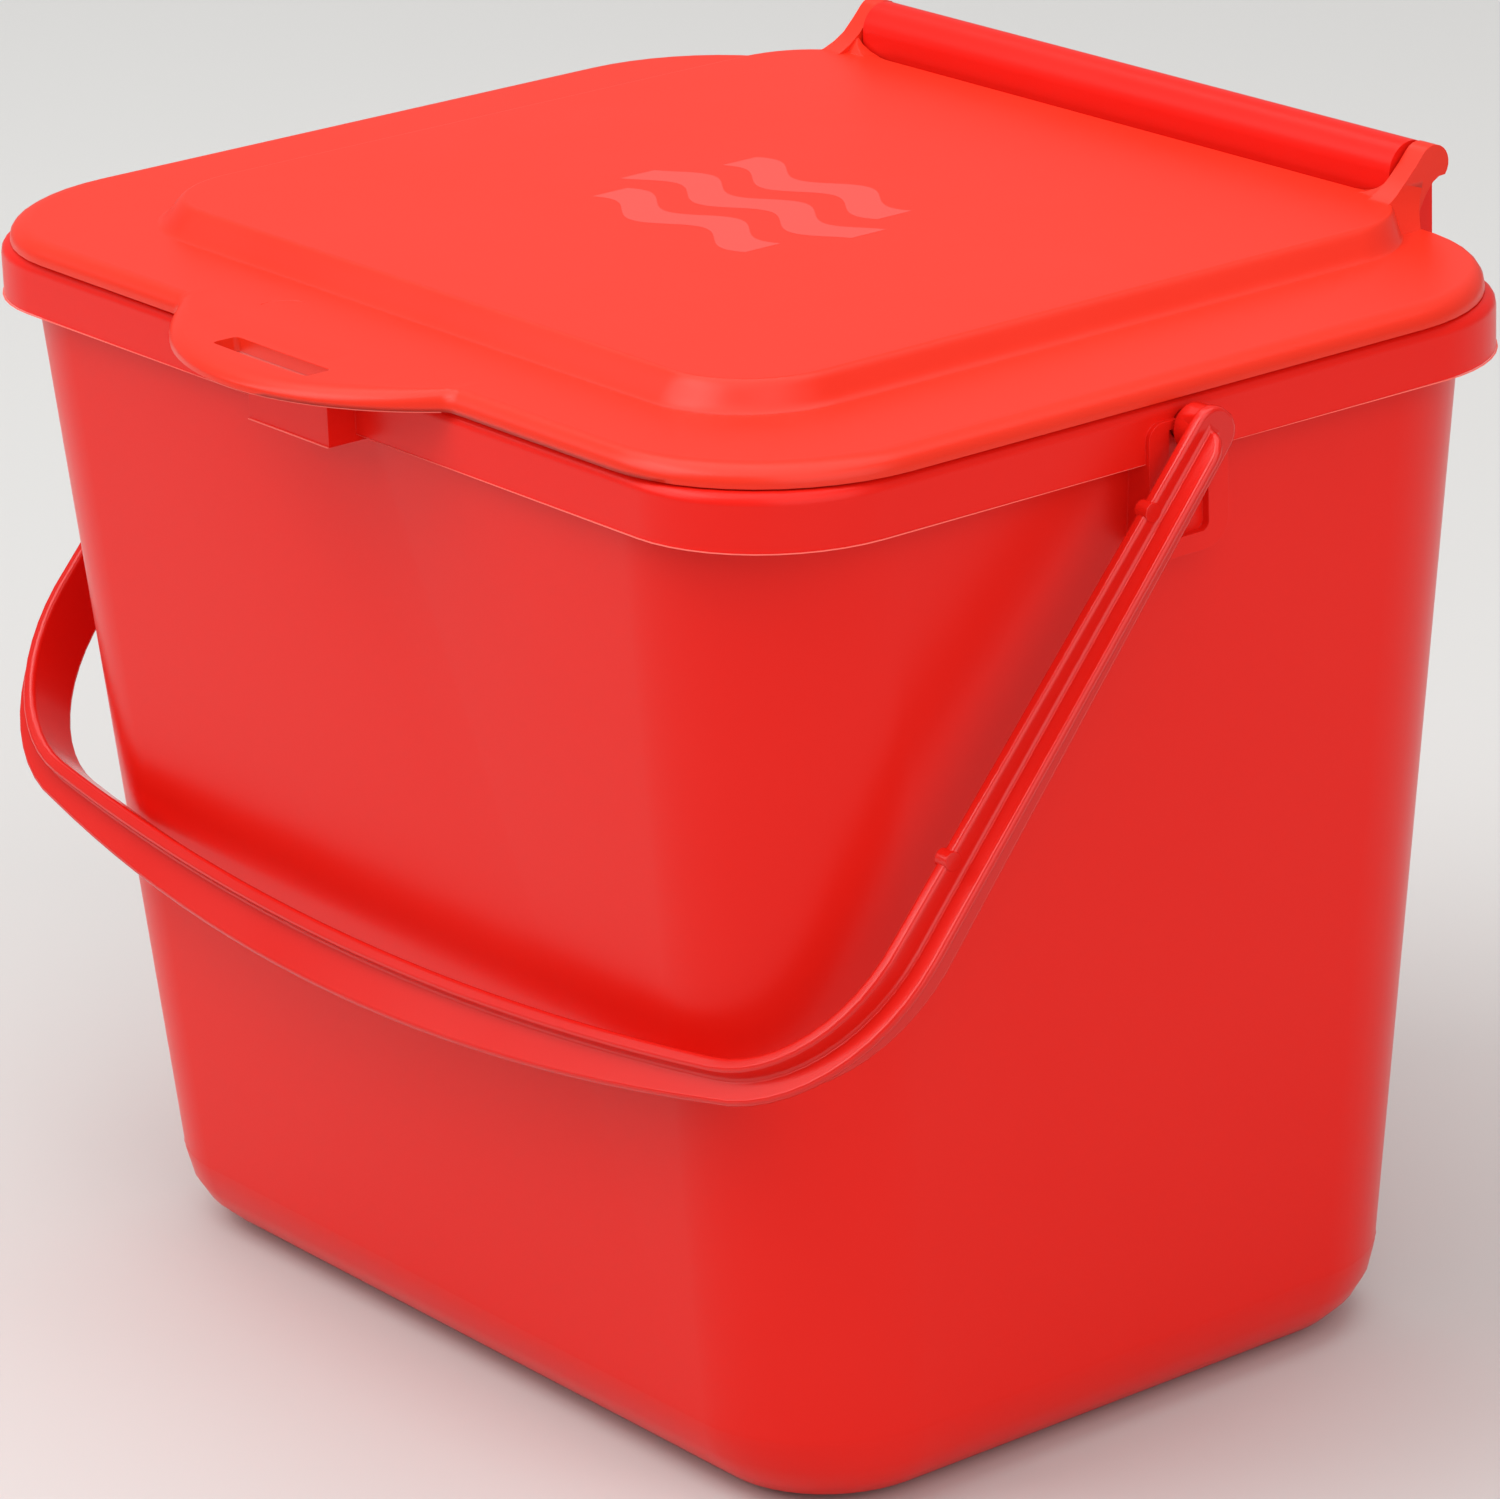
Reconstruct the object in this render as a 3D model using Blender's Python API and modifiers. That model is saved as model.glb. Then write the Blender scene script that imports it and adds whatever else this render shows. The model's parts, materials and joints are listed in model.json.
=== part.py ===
"""A lidded bucket with a swinging bail handle, moulded in polypropylene.

Three mouldings: the bucket, the lid that turns on the bar behind the mouth, and the bail
handle whose pins turn in the two side lugs. X runs across the bucket, the front with the
pull tab faces -Y, and the base stands on Z = 0. The lid is drawn shut and the bail is drawn
lowered onto the front wall.
"""

import math

import bmesh
import bpy
from mathutils import Matrix, Vector

# Driving dimensions, in millimetres and degrees.

# Bucket body, outside.
BASE_WIDTH = 206.8
BASE_DEPTH = 147.0
BASE_SETBACK = 0.9
BASE_CORNER = 27.5
BASE_FILLET = 14.5
MOUTH_WIDTH = 233.0
MOUTH_DEPTH = 178.6
MOUTH_CORNER = 33.0
BODY_HEIGHT = 195.5
WALL = 2.2
FLOOR = 2.6

# How far the joined features are sunk into the walls that carry them.
ROOT = 1.2

# Rim band around the mouth, hollow from below.
RIM_SIDE = 3.5
RIM_FRONT = 1.9
RIM_CORNER = 28.5
RIM_HEIGHT = 10.0
RIM_ROUND = 2.2
RIM_SKIRT = 1.3
RIM_WEB = 5.0

# Lid shell with its raised panel.
LID_OVERHANG = 0.5
LID_CORNER = 35.0
LID_SEAT = 0.3
LID_EDGE = 0.8
LID_SHOULDER_RISE = 2.8
LID_SHOULDER_RUN = 4.5
LID_WALL = 2.2
PANEL_WIDTH = 180.6
PANEL_FRONT_MARGIN = 22.6
PANEL_BACK_MARGIN = 0.9
PANEL_RISE = 4.8
PANEL_SLOPE = 2.7
PANEL_CORNER = 20.0
PANEL_BACK_CORNER = 20.0
PANEL_ROUND = 3.0

# Lip under the lid, inside the mouth.
LIP_DROP = 5.5
LIP_WALL = 1.8
LIP_CLEARANCE = 1.0

# Pull tab on the lid's front edge.
TAB_WIDTH = 80.5
TAB_REACH = 18.4
TAB_FILLET = 4.5
TAB_DROP = 0.8
TAB_STEP = 6.0
SLOT_WIDTH = 28.4
SLOT_DEPTH = 5.3
SLOT_FROM_LID = 5.4
SLOT_CORNER = 1.0

# Hollow block on the front of the rim, below the tab.
CATCH_WIDTH = 24.0
CATCH_REACH = 5.8
CATCH_TAB_GAP = 1.0
CATCH_BELOW_RIM = 1.3
CATCH_WALL = 1.6

# Hinge behind the mouth.
BAR_RADIUS = 5.3
BAR_LENGTH = 149.0
BAR_GAP = 2.2
BAR_CLEARANCE = 0.55
BAR_LEAN_DEG = 27.0
RAIL_WALL = 3.4
RAIL_LEDGE = 2.8
RAIL_BELOW_RIM = 0.3
RAIL_END_WALL = 5.0
HINGE_PIN_RADIUS = 1.9
HINGE_PIN_LENGTH = 3.2
HINGE_PLAY = 0.3

# Ears on the lid that hold the bar's pins.
EAR_THICKNESS = 4.4
EAR_SIDE_GAP = 0.6
EAR_HALF_WIDTH = 3.6
EAR_TIP_ABOVE_PIN = 1.6
EAR_TIP_BEHIND_PIN = 1.0
EAR_LEAN_DEG = 47.0
EAR_FOOT = 6.0
EAR_HOOK_DEG = -40.0
EAR_HEEL = 3.3
EAR_FLARE = 5.2
EAR_WEB_REACH = 10.0
EAR_WEB_RISE = 4.5
EAR_WEB_WALL = 3.0

# Lugs on the sides of the bucket that carry the bail.
PIVOT_Y = 2.6
PIVOT_BELOW_MOUTH = 4.8
LUG_PROUD = 1.0
LUG_WIDTH = 17.6
LUG_TOP_BELOW_MOUTH = 3.2
LUG_LENGTH = 24.3
LUG_CORNER = 3.0
LUG_FOOT_CORNER = 5.0
POCKET_WIDTH = 8.6
POCKET_DEPTH = 1.6
POCKET_END_WALL = 3.4
POCKET_CORNER = 1.5

# Bail handle: a broad flange around the bucket, with a web along the middle of its outside.
BAIL_PIN_RADIUS = 2.5
BAIL_PIN_DEPTH = 3.6
BAIL_PIN_PLAY = 0.3
BAIL_SIDE_GAP = 4.3
BAIL_COLLAR_GAP = 0.5
BAIL_COLLAR_STEP = 0.3
BAIL_FLANGE = 2.7
BAIL_EDGE_ROUND = 1.0
BAIL_END_RADIUS = 4.6
BAIL_END_BLUNT = 1.2
BAIL_CORNER_HALF = 6.3
BAIL_BAR_HALF = 5.0
BAIL_REACH = 137.4
BAIL_CORNER = 30.1
BAIL_BOW_DEG = 8.2
BAIL_WEB = 1.7
BAIL_WEB_LOW = 0.2
BAIL_WEB_REACH = 7.2
BAIL_WEB_SWELL = 3.2
BAIL_WEB_RAMP = 5.0
BAIL_REST_GAP = 0.3

# Finish: one red polypropylene, a little glossier on the bail.
RED = (0.80, 0.020, 0.012, 1.0)
BUCKET_ROUGHNESS = 0.42
LID_ROUGHNESS = 0.45
BAIL_ROUGHNESS = 0.34

# Fineness of the curves, and how near two points are one.
CORNER_STEPS = 12
FILLET_STEPS = 5
ROUND_STEPS = 24
WELD = 0.001
SMOOTH_ANGLE_DEG = 35.0

# Sizes that follow from the driving dimensions.
MM = 0.001
RIM_HALF_X = MOUTH_WIDTH / 2 + RIM_SIDE
RIM_HALF_Y = MOUTH_DEPTH / 2 + RIM_FRONT
RIM_BOTTOM = BODY_HEIGHT - RIM_HEIGHT
LID_HALF_X = RIM_HALF_X + LID_OVERHANG
LID_HALF_Y = RIM_HALF_Y + LID_OVERHANG
LID_BOTTOM = BODY_HEIGHT + LID_SEAT
FLANGE_TOP = LID_BOTTOM + LID_EDGE + LID_SHOULDER_RISE
PANEL_TOP = FLANGE_TOP + PANEL_RISE
PANEL_BACK = LID_HALF_Y - PANEL_BACK_MARGIN
CATCH_BOTTOM = RIM_BOTTOM - CATCH_BELOW_RIM
CATCH_TOP = LID_BOTTOM - CATCH_TAB_GAP
BAR_REACH = BAR_RADIUS + BAR_GAP
HINGE_Y = PANEL_BACK + BAR_REACH * math.cos(math.radians(BAR_LEAN_DEG))
HINGE_Z = PANEL_TOP + BAR_REACH * math.sin(math.radians(BAR_LEAN_DEG))
BAR_END = BAR_LENGTH / 2
EAR_INNER = BAR_END + EAR_SIDE_GAP
PIVOT_Z = BODY_HEIGHT - PIVOT_BELOW_MOUTH
LUG_FACE = RIM_HALF_X + LUG_PROUD
LUG_TOP = BODY_HEIGHT - LUG_TOP_BELOW_MOUTH
LUG_BOTTOM = LUG_TOP - LUG_LENGTH
BAIL_INNER = LUG_FACE + BAIL_SIDE_GAP
BAIL_PIN_TIP = LUG_FACE - BAIL_PIN_DEPTH
BAIL_ROOT = BAIL_INNER + BAIL_FLANGE / 2


def arc(centre_a, centre_b, radius, start, end, steps):
    """Return points on an arc in a plane, from one angle in degrees to another."""
    points = []
    for step in range(steps + 1):
        angle = math.radians(start + (end - start) * step / steps)
        points.append((centre_a + radius * math.cos(angle), centre_b + radius * math.sin(angle)))
    return points


def bend(start, control, end):
    """Return points on a curve between two points that leans towards a control point."""
    points = []
    for step in range(FILLET_STEPS + 1):
        share = step / FILLET_STEPS
        points.append(tuple(start.lerp(control, share).lerp(control.lerp(end, share), share)))
    return points


def ring(half_x, front, back, front_corner, back_corner, z, front_points=()):
    """Return a rounded rectangle at height z, counter-clockwise from its right-hand side.

    The front points are (x, reach) pairs, put in from left to right along the front side.
    """
    outline = arc(half_x - back_corner, back - back_corner, back_corner, 0.0, 90.0, CORNER_STEPS)
    outline += arc(back_corner - half_x, back - back_corner, back_corner, 90.0, 180.0, CORNER_STEPS)
    outline += arc(front_corner - half_x, front + front_corner, front_corner, 180.0, 270.0, CORNER_STEPS)
    outline += [(x, front - reach) for x, reach in front_points]
    outline += arc(half_x - front_corner, front + front_corner, front_corner, 270.0, 360.0, CORNER_STEPS)
    return [Vector((x, y, z)) for x, y in outline]


def even_ring(half_x, half_y, corner, z):
    """Return a rounded rectangle that is centred on the bucket."""
    return ring(half_x, -half_y, half_y, corner, corner, z)


def body_ring(z, inset):
    """Return the tapered body's section at height z, inset from its outside."""
    share = z / BODY_HEIGHT
    half_x = (BASE_WIDTH + (MOUTH_WIDTH - BASE_WIDTH) * share) / 2 - inset
    half_y = (BASE_DEPTH + (MOUTH_DEPTH - BASE_DEPTH) * share) / 2 - inset
    corner = BASE_CORNER + (MOUTH_CORNER - BASE_CORNER) * share - inset
    middle = BASE_SETBACK * (1 - share)
    return ring(half_x, middle - half_y, middle + half_y, corner, corner, z)


def rim_ring(inset, z):
    """Return the rim's outline at height z, inset from its outside."""
    return even_ring(RIM_HALF_X - inset, RIM_HALF_Y - inset, RIM_CORNER - inset, z)


def tab_outline(reach):
    """Return the pull tab's outline as (x, reach) pairs: a bow with a fillet at each end.

    Its points lie on the straight front edge if the tab is given no reach.
    """
    half = TAB_WIDTH / 2
    radius = (half * half + TAB_REACH * TAB_REACH) / (2 * TAB_REACH)
    drop = radius - TAB_REACH
    fillet_x = math.sqrt((radius + TAB_FILLET) ** 2 - (TAB_FILLET + drop) ** 2)
    spread = math.degrees(math.atan2(fillet_x, TAB_FILLET + drop))
    points = arc(-fillet_x, TAB_FILLET, TAB_FILLET, -90.0, spread - 90.0, FILLET_STEPS)
    points += arc(0.0, -drop, radius, 90.0 + spread, 90.0 - spread, ROUND_STEPS)[1:-1]
    points += arc(fillet_x, TAB_FILLET, TAB_FILLET, 270.0 - spread, 270.0, FILLET_STEPS)
    return [(x, out / TAB_REACH * reach) for x, out in points]


def lid_ring(inset, z, tab_reach=0.0):
    """Return the lid's outline at height z, inset from its outside, with the tab if it has a reach."""
    half_y = LID_HALF_Y - inset
    corner = LID_CORNER - inset
    return ring(LID_HALF_X - inset, -half_y, half_y, corner, corner, z, tab_outline(tab_reach))


def fillet_rings(radius, floor_z, inset):
    """Return the sections of a rounded bottom edge, from the flat floor up to the wall."""
    return [
        body_ring(floor_z + radius + rise, inset + radius - run)
        for run, rise in arc(0.0, 0.0, radius, -90.0, 0.0, FILLET_STEPS)
    ]


def panel_ring(grow, z, inset=0.0):
    """Return the outline of the lid's raised panel at height z, grown down its slope, then inset."""
    back_grow = grow / PANEL_SLOPE * PANEL_BACK_MARGIN / 2
    return ring(
        PANEL_WIDTH / 2 + grow - inset,
        PANEL_FRONT_MARGIN - LID_HALF_Y - grow + inset,
        PANEL_BACK + back_grow - inset,
        PANEL_CORNER + grow - inset,
        PANEL_BACK_CORNER + grow - inset,
        z,
        tab_outline(0.0),
    )


def add_loft(mesh, sections, closed=False):
    """Skin a solid through sections with the same number of points.

    A closed loft joins its last section to its first; an open one is capped at both ends.
    """
    loops = [[mesh.verts.new(point * MM) for point in section] for section in sections]
    pairs = list(zip(loops, loops[1:]))
    if closed:
        pairs.append((loops[-1], loops[0]))
    for lower, upper in pairs:
        for index, corner in enumerate(lower):
            following = (index + 1) % len(lower)
            mesh.faces.new((corner, lower[following], upper[following], upper[index]))
    if not closed:
        mesh.faces.new(loops[0])
        mesh.faces.new(loops[-1])


def add_extrusion(mesh, outline, direction):
    """Extrude a flat outline of 3-D points along a direction."""
    face = mesh.faces.new([mesh.verts.new(point * MM) for point in outline])
    grown = bmesh.ops.extrude_face_region(mesh, geom=[face], use_keep_orig=True)
    moved = [item for item in grown["geom"] if isinstance(item, bmesh.types.BMVert)]
    bmesh.ops.translate(mesh, verts=moved, vec=direction * MM)


def extrude_x(mesh, profile, low, high):
    """Extrude a (y, z) profile across the bucket."""
    add_extrusion(mesh, [Vector((low, y, z)) for y, z in profile], Vector((high - low, 0.0, 0.0)))


def extrude_z(mesh, outline, low, high):
    """Extrude an (x, y) outline upwards."""
    add_extrusion(mesh, [Vector((x, y, low)) for x, y in outline], Vector((0.0, 0.0, high - low)))


def add_pin(mesh, radius, low, high, y, z):
    """Add a round pin that lies across the bucket."""
    centre = Vector(((low + high) / 2, y, z)) * MM
    bmesh.ops.create_cone(
        mesh,
        cap_ends=True,
        segments=ROUND_STEPS,
        radius1=radius * MM,
        radius2=radius * MM,
        depth=(high - low) * MM,
        matrix=Matrix.Translation(centre) @ Matrix.Rotation(math.pi / 2, 4, "Y"),
    )


def add_block(mesh, low, high):
    """Add a box between two corners."""
    scale = Matrix.Diagonal((Vector(high) - Vector(low)) * MM).to_4x4()
    centre = (Vector(high) + Vector(low)) / 2 * MM
    bmesh.ops.create_cube(mesh, size=1.0, matrix=Matrix.Translation(centre) @ scale)


def bucket_shell(mesh):
    """Build the open bucket with its rounded base and hollow rim."""
    web_bottom = BODY_HEIGHT - RIM_WEB
    sections = fillet_rings(BASE_FILLET, 0.0, 0.0)
    sections.append(body_ring(RIM_BOTTOM, 0.0))
    sections.append(body_ring(web_bottom, 0.0))
    sections.append(rim_ring(RIM_SKIRT, web_bottom))
    sections.append(rim_ring(RIM_SKIRT, RIM_BOTTOM))
    sections.append(rim_ring(0.0, RIM_BOTTOM))
    for inset, drop in arc(RIM_ROUND, -RIM_ROUND, RIM_ROUND, 180.0, 90.0, FILLET_STEPS):
        sections.append(rim_ring(inset, BODY_HEIGHT + drop))
    sections.append(body_ring(BODY_HEIGHT, WALL))
    sections += reversed(fillet_rings(BASE_FILLET - WALL, FLOOR, WALL))
    add_loft(mesh, sections)


def side_lug(mesh):
    """Build the right-hand lug, rooted in the tapered wall."""
    low_y = PIVOT_Y - LUG_WIDTH / 2
    high_y = PIVOT_Y + LUG_WIDTH / 2
    outline = arc(high_y - LUG_CORNER, LUG_TOP - LUG_CORNER, LUG_CORNER, 0.0, 90.0, FILLET_STEPS)
    outline += arc(low_y + LUG_CORNER, LUG_TOP - LUG_CORNER, LUG_CORNER, 90.0, 180.0, FILLET_STEPS)
    foot = LUG_BOTTOM + LUG_FOOT_CORNER
    outline += arc(low_y + LUG_FOOT_CORNER, foot, LUG_FOOT_CORNER, 180.0, 270.0, FILLET_STEPS)
    outline += arc(high_y - LUG_FOOT_CORNER, foot, LUG_FOOT_CORNER, 270.0, 360.0, FILLET_STEPS)
    slope = (MOUTH_WIDTH - BASE_WIDTH) / 2 / BODY_HEIGHT
    root_x = BASE_WIDTH / 2 - ROOT
    root = [Vector((root_x + slope * z, y, z)) for y, z in outline]
    add_loft(mesh, [root, [Vector((LUG_FACE, y, z)) for y, z in outline]])


def lug_pocket(mesh):
    """Build the shallow pocket below the pivot, cut into the lug's face."""
    low_y = PIVOT_Y - POCKET_WIDTH / 2
    high_y = PIVOT_Y + POCKET_WIDTH / 2
    bottom = LUG_BOTTOM + POCKET_END_WALL
    foot = bottom + POCKET_CORNER
    outline = [(high_y, PIVOT_Z), (low_y, PIVOT_Z)]
    outline += arc(low_y + POCKET_CORNER, foot, POCKET_CORNER, 180.0, 270.0, FILLET_STEPS)
    outline += arc(high_y - POCKET_CORNER, foot, POCKET_CORNER, 270.0, 360.0, FILLET_STEPS)
    extrude_x(mesh, outline, LUG_FACE - POCKET_DEPTH, BAIL_INNER)


def pivot_bore(mesh):
    """Build the blind bore that the bail's pin turns in."""
    radius = BAIL_PIN_RADIUS + BAIL_PIN_PLAY
    add_pin(mesh, radius, BAIL_PIN_TIP - BAIL_PIN_PLAY, BAIL_INNER, PIVOT_Y, PIVOT_Z)


def hinge_rail(mesh):
    """Build the ledge behind the mouth and the round-topped rail that carries the lid."""
    back = HINGE_Y + BAR_RADIUS
    front = HINGE_Y - BAR_RADIUS
    ledge_top = BODY_HEIGHT - RAIL_BELOW_RIM
    root = MOUTH_DEPTH / 2 - ROOT
    profile = [(root, ledge_top - RAIL_LEDGE), (back, ledge_top - RAIL_LEDGE)]
    profile += arc(HINGE_Y, HINGE_Z, BAR_RADIUS, 0.0, 180.0, ROUND_STEPS)
    profile += [(front, ledge_top), (root, ledge_top)]
    extrude_x(mesh, profile, -BAR_END, BAR_END)


def rail_hollow(mesh):
    """Build the hollow in the underside of the rail."""
    half = BAR_RADIUS - RAIL_WALL
    low = (RAIL_END_WALL - BAR_END, HINGE_Y - half, RIM_BOTTOM)
    high = (BAR_END - RAIL_END_WALL, HINGE_Y + half, HINGE_Z + BAR_RADIUS - RAIL_WALL)
    add_block(mesh, low, high)


def hinge_pin(mesh):
    """Build the pin on the right-hand end of the rail."""
    low = BAR_END - HINGE_PIN_LENGTH
    high = BAR_END + HINGE_PIN_LENGTH
    add_pin(mesh, HINGE_PIN_RADIUS, low, high, HINGE_Y, HINGE_Z)


def catch_block(mesh):
    """Build the block on the front of the rim, below the pull tab."""
    low = (-CATCH_WIDTH / 2, -RIM_HALF_Y - CATCH_REACH, CATCH_BOTTOM)
    high = (CATCH_WIDTH / 2, WALL - MOUTH_DEPTH / 2, CATCH_TOP)
    add_block(mesh, low, high)


def catch_pocket(mesh):
    """Build the hollow in the underside of the block."""
    half = CATCH_WIDTH / 2 - CATCH_WALL
    low = (-half, CATCH_WALL - RIM_HALF_Y - CATCH_REACH, CATCH_BOTTOM - CATCH_WALL)
    high = (half, -RIM_HALF_Y - CATCH_WALL / 4, CATCH_TOP - CATCH_WALL)
    add_block(mesh, low, high)


def lid_shell(mesh):
    """Build the lid's shell: rounded shoulder, flat flange and tab, raised panel, hollow below."""
    edge = lid_ring(0.0, LID_BOTTOM, TAB_REACH)
    line = lid_ring(0.0, LID_BOTTOM)
    foot = panel_ring(PANEL_SLOPE, FLANGE_TOP)
    run = LID_SHOULDER_RUN / (LID_HALF_X - PANEL_WIDTH / 2 - PANEL_SLOPE)
    drops = [TAB_DROP * (inner.y - outer.y) / TAB_REACH for outer, inner in zip(edge, line)]
    sections = [edge]
    for inset, rise in arc(1.0, 0.0, 1.0, 180.0, 90.0, FILLET_STEPS):
        height = LID_BOTTOM + LID_EDGE + LID_SHOULDER_RISE * rise
        section = []
        for outer, inner, drop in zip(edge, foot, drops):
            place = outer.lerp(inner, run * inset)
            section.append(Vector((place.x, place.y, height - drop * rise)))
        sections.append(section)
    shoulder = sections[-1]
    for setback, share in ((-TAB_STEP / 2, 1.0), (TAB_STEP / 2, 0.0)):
        section = []
        for outer, inner, drop in zip(shoulder, foot, drops):
            place = outer.lerp(inner, run * (2.0 - share))
            front = place.y + (setback - LID_HALF_Y - place.y) * drop / TAB_DROP
            section.append(Vector((place.x, front, FLANGE_TOP - drop * share)))
        sections.append(section)
    for step in range(2 * FILLET_STEPS + 1):
        share = step / (2 * FILLET_STEPS)
        rise = PANEL_RISE * share * share * (3 - 2 * share)
        grow = PANEL_SLOPE - (PANEL_SLOPE + PANEL_ROUND) * share
        sections.append(panel_ring(grow, FLANGE_TOP + rise))
    underside = [
        panel_ring(0.0, PANEL_TOP - LID_WALL, LID_WALL),
        panel_ring(PANEL_SLOPE, FLANGE_TOP - LID_WALL, LID_WALL),
        lid_ring(LID_WALL, FLANGE_TOP - LID_WALL),
        lid_ring(LID_WALL, LID_BOTTOM),
    ]
    add_loft(mesh, underside + sections)


def locating_lip(mesh):
    """Build the lip under the lid that drops inside the mouth."""
    clear = WALL + LIP_CLEARANCE
    low = LID_BOTTOM - LIP_DROP
    high = FLANGE_TOP - LID_WALL / 2
    sections = []
    for inset, z in ((clear, low), (clear, high), (clear + LIP_WALL, high), (clear + LIP_WALL, low)):
        sections.append([Vector((point.x, point.y, z)) for point in body_ring(low, inset)])
    add_loft(mesh, sections, closed=True)


def tab_slot(mesh):
    """Build the slot through the tab."""
    half = SLOT_WIDTH / 2 - SLOT_CORNER
    back = -LID_HALF_Y - SLOT_FROM_LID - SLOT_CORNER
    front = back - SLOT_DEPTH + 2 * SLOT_CORNER
    outline = arc(half, back, SLOT_CORNER, 0.0, 90.0, FILLET_STEPS)
    outline += arc(-half, back, SLOT_CORNER, 90.0, 180.0, FILLET_STEPS)
    outline += arc(-half, front, SLOT_CORNER, 180.0, 270.0, FILLET_STEPS)
    outline += arc(half, front, SLOT_CORNER, 270.0, 360.0, FILLET_STEPS)
    extrude_z(mesh, outline, LID_BOTTOM - LID_WALL, PANEL_TOP)


def ear_front(z):
    """Return where the leaning front edge of the ears lies at height z."""
    lean = math.radians(EAR_LEAN_DEG)
    level = HINGE_Z + EAR_TIP_ABOVE_PIN + EAR_HALF_WIDTH * math.cos(lean)
    return HINGE_Y + EAR_TIP_BEHIND_PIN - EAR_HALF_WIDTH * math.sin(lean) + (z - level) / math.tan(lean)


def ear_front_edge():
    """Return the front edge of the ears as (y, z) points, swept up from the panel."""
    sunk = PANEL_TOP - LID_WALL / 3
    elbow = Vector((ear_front(sunk), sunk))
    start = Vector((elbow.x - EAR_FOOT, sunk))
    end = Vector((ear_front(sunk + EAR_FOOT), sunk + EAR_FOOT))
    return bend(start, elbow, end)


def hinge_ear(mesh):
    """Build the right-hand ear, a hook that leans back from the panel over the bar's pin."""
    tip_y = HINGE_Y + EAR_TIP_BEHIND_PIN
    tip_z = HINGE_Z + EAR_TIP_ABOVE_PIN
    flange = FLANGE_TOP - LID_WALL / 3
    heel = Vector((PANEL_BACK + EAR_HEEL, FLANGE_TOP))
    profile = ear_front_edge()
    foot = profile[0][0]
    profile += arc(tip_y, tip_z, EAR_HALF_WIDTH, EAR_LEAN_DEG + 90.0, EAR_HOOK_DEG, ROUND_STEPS // 2)
    profile += bend(Vector(profile[-1]), Vector((HINGE_Y, HINGE_Z)), heel)[1:]
    profile += [(PANEL_BACK - LID_WALL / 2, flange), (foot, flange)]
    extrude_x(mesh, profile, EAR_INNER, EAR_INNER + EAR_THICKNESS)


def ear_flare(mesh):
    """Build the outer side of the right-hand ear, which spreads down to the lid's flange."""
    edge = ear_front_edge()
    foot, sunk = edge[0]
    low = FLANGE_TOP - LID_WALL / 3
    height = edge[-1][1] - low
    inner = EAR_INNER + EAR_THICKNESS / 2
    outer = EAR_INNER + EAR_THICKNESS - EAR_SIDE_GAP / 2
    rows = [(foot, low + (sunk - low) * step / FILLET_STEPS) for step in range(FILLET_STEPS)]
    sections = []
    for front, z in rows + edge:
        share = (z - low) / height
        side = outer + EAR_FLARE * (1 - share) ** 2
        back = PANEL_BACK + (HINGE_Y - PANEL_BACK) * share
        sections.append([
            Vector((inner, front, z)),
            Vector((side, front, z)),
            Vector((side, back, z)),
            Vector((inner, back, z)),
        ])
    add_loft(mesh, sections)


def ear_web(mesh):
    """Build the curved web that sweeps from the panel's back edge up to the right-hand ear."""
    sunk = PANEL_TOP - LID_WALL / 2
    sections = []
    for run, rise in arc(0.0, 1.0, 1.0, -90.0, 0.0, FILLET_STEPS):
        x = EAR_INNER + EAR_SIDE_GAP - EAR_WEB_REACH * (1 - run)
        top = sunk + LID_WALL / 4 + EAR_WEB_RISE * rise
        low_front = ear_front(sunk)
        high_front = ear_front(top)
        sections.append([
            Vector((x, low_front, sunk)),
            Vector((x, low_front + EAR_WEB_WALL, sunk)),
            Vector((x, high_front + EAR_WEB_WALL, top)),
            Vector((x, high_front, top)),
        ])
    add_loft(mesh, sections)


def bar_clearance(mesh):
    """Build the space that the lid keeps free around the rail and its round top."""
    half = BAR_END + EAR_SIDE_GAP
    radius = BAR_RADIUS + BAR_CLEARANCE
    profile = arc(HINGE_Y, HINGE_Z, radius, 0.0, 180.0, ROUND_STEPS)
    profile += [(HINGE_Y - radius, FLANGE_TOP), (HINGE_Y + radius, FLANGE_TOP)]
    extrude_x(mesh, profile, -half, half)


def ear_bore(mesh):
    """Build the blind bore in the right-hand ear for the bar's pin."""
    low = EAR_INNER - EAR_SIDE_GAP
    high = BAR_END + HINGE_PIN_LENGTH + HINGE_PLAY
    add_pin(mesh, HINGE_PIN_RADIUS + HINGE_PLAY, low, high, HINGE_Y, HINGE_Z)


def bail_rest_angle():
    """Return how far the bail hangs below level, where its bar rests on the front wall.

    The bowed bar touches at both ends of the wall's flat.
    """
    base_front = BASE_DEPTH / 2 - BASE_SETBACK
    slope = (MOUTH_DEPTH / 2 - base_front) / BODY_HEIGHT
    flat = (BASE_WIDTH + MOUTH_WIDTH) / 4 - (BASE_CORNER + MOUTH_CORNER) / 2
    bar_end, bow, _ = bail_bar()
    reach = BAIL_REACH - bow * (flat / bar_end) ** 2
    level = reach + slope * BAIL_BAR_HALF
    plumb = slope * reach - BAIL_BAR_HALF
    distance = PIVOT_Y + base_front + slope * PIVOT_Z + BAIL_REST_GAP * math.hypot(1.0, slope)
    return math.atan2(plumb, level) + math.acos(distance / math.hypot(level, plumb))


def bail_bar():
    """Return the half-length of the bail's bowed bar, its bow and the length of the straight arms."""
    lean = math.radians(BAIL_BOW_DEG)
    bar_end = BAIL_INNER - BAIL_CORNER + BAIL_CORNER * math.sin(lean)
    bow = bar_end * math.tan(lean) / 2
    return bar_end, bow, BAIL_REACH - bow - BAIL_CORNER * math.cos(lean)


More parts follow.
